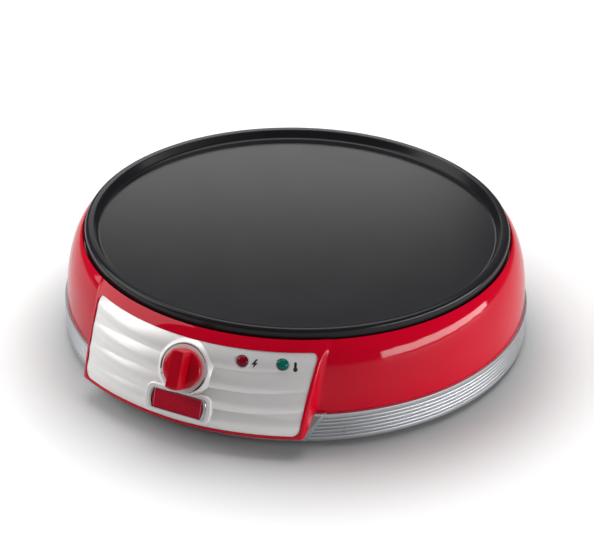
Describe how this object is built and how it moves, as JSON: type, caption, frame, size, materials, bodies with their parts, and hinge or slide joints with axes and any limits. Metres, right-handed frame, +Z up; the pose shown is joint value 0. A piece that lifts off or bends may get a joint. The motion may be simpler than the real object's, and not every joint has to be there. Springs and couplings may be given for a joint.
{
  "type": "electric crepe maker",
  "caption": "Electric crepe maker: round shallow non-stick plate on a domed housing with a ribbed base band, a curved front panel with a temperature knob and indicator lamps.",
  "frame": {"origin": "middle of the footprint, at table height under the feet", "axes": "+Z up out of the cooking plate, +Y from the control panel towards the cord inlet at the rear, +X to the right seen from the front"},
  "size_m": [0.3314, 0.3522, 0.08],
  "materials": {
    "plate_coating": "non-stick coating, satin dark grey",
    "red_shell": "glossy red",
    "silver_band": "satin silver",
    "fascia_grey": "satin pale silver paint",
    "knob_red": "glossy red",
    "chrome_trim": "polished",
    "badge_red": "red with fine ribs",
    "lens_red": "clear red, lit from behind when on",
    "lens_green": "clear green, lit from behind when on",
    "foot_rubber": "matte black",
    "black_plastic": "matte black",
    "reflector_metal": "rolled sheet",
    "element_metal": "heat-stained steel",
    "screw_steel": "zinc-plated",
    "tube_copper": "bare copper",
    "terminal_plastic": "ivory",
    "lead_jacket": "heat-proof silicone jacket",
    "neon_glass": "neon bulb glass"
  },
  "bodies": {
    "crepe_maker": {"cooking_plate": "plate_coating", "heating_element": "element_metal", "element_pins": "screw_steel", "heat_reflector": "reflector_metal", "tie_screws": "screw_steel", "sensing_bulb": "tube_copper", "bulb_clip": "screw_steel", "capillary_tube": "tube_copper", "upper_housing": "red_shell", "base_tub": "silver_band", "rubber_feet": "foot_rubber", "inlet_bush": "black_plastic", "inlet_nut": "black_plastic", "terminal_block": "terminal_plastic", "control_panel": "fascia_grey", "badge_bezel": "chrome_trim", "badge_plate": "badge_red", "power_lens": "lens_red", "ready_lens": "lens_green", "power_lamp": "neon_glass", "ready_lamp": "neon_glass", "thermostat_body": "black_plastic", "thermostat_bracket": "screw_steel", "thermostat_tabs": "screw_steel", "thermal_fuse": "element_metal", "fuse_clip": "screw_steel", "strap_screws": "screw_steel", "thermostat_screws": "screw_steel", "blade_sleeves": "terminal_plastic", "live_lead": "lead_jacket", "switched_lead": "lead_jacket", "neutral_lead": "lead_jacket", "fuse_lead": "lead_jacket"},
    "knob": {"control_knob": "knob_red", "thermostat_spindle": "screw_steel", "knob_clip": "screw_steel"}
  },
  "joints": [
    {"name": "knob_turn", "type": "hinge", "parent": "crepe_maker", "child": "knob", "pos_m": [0, -0.1571, 0.05], "axis": [0, -0.9074, 0.4203], "range_deg": [-315, 0]}
  ]
}
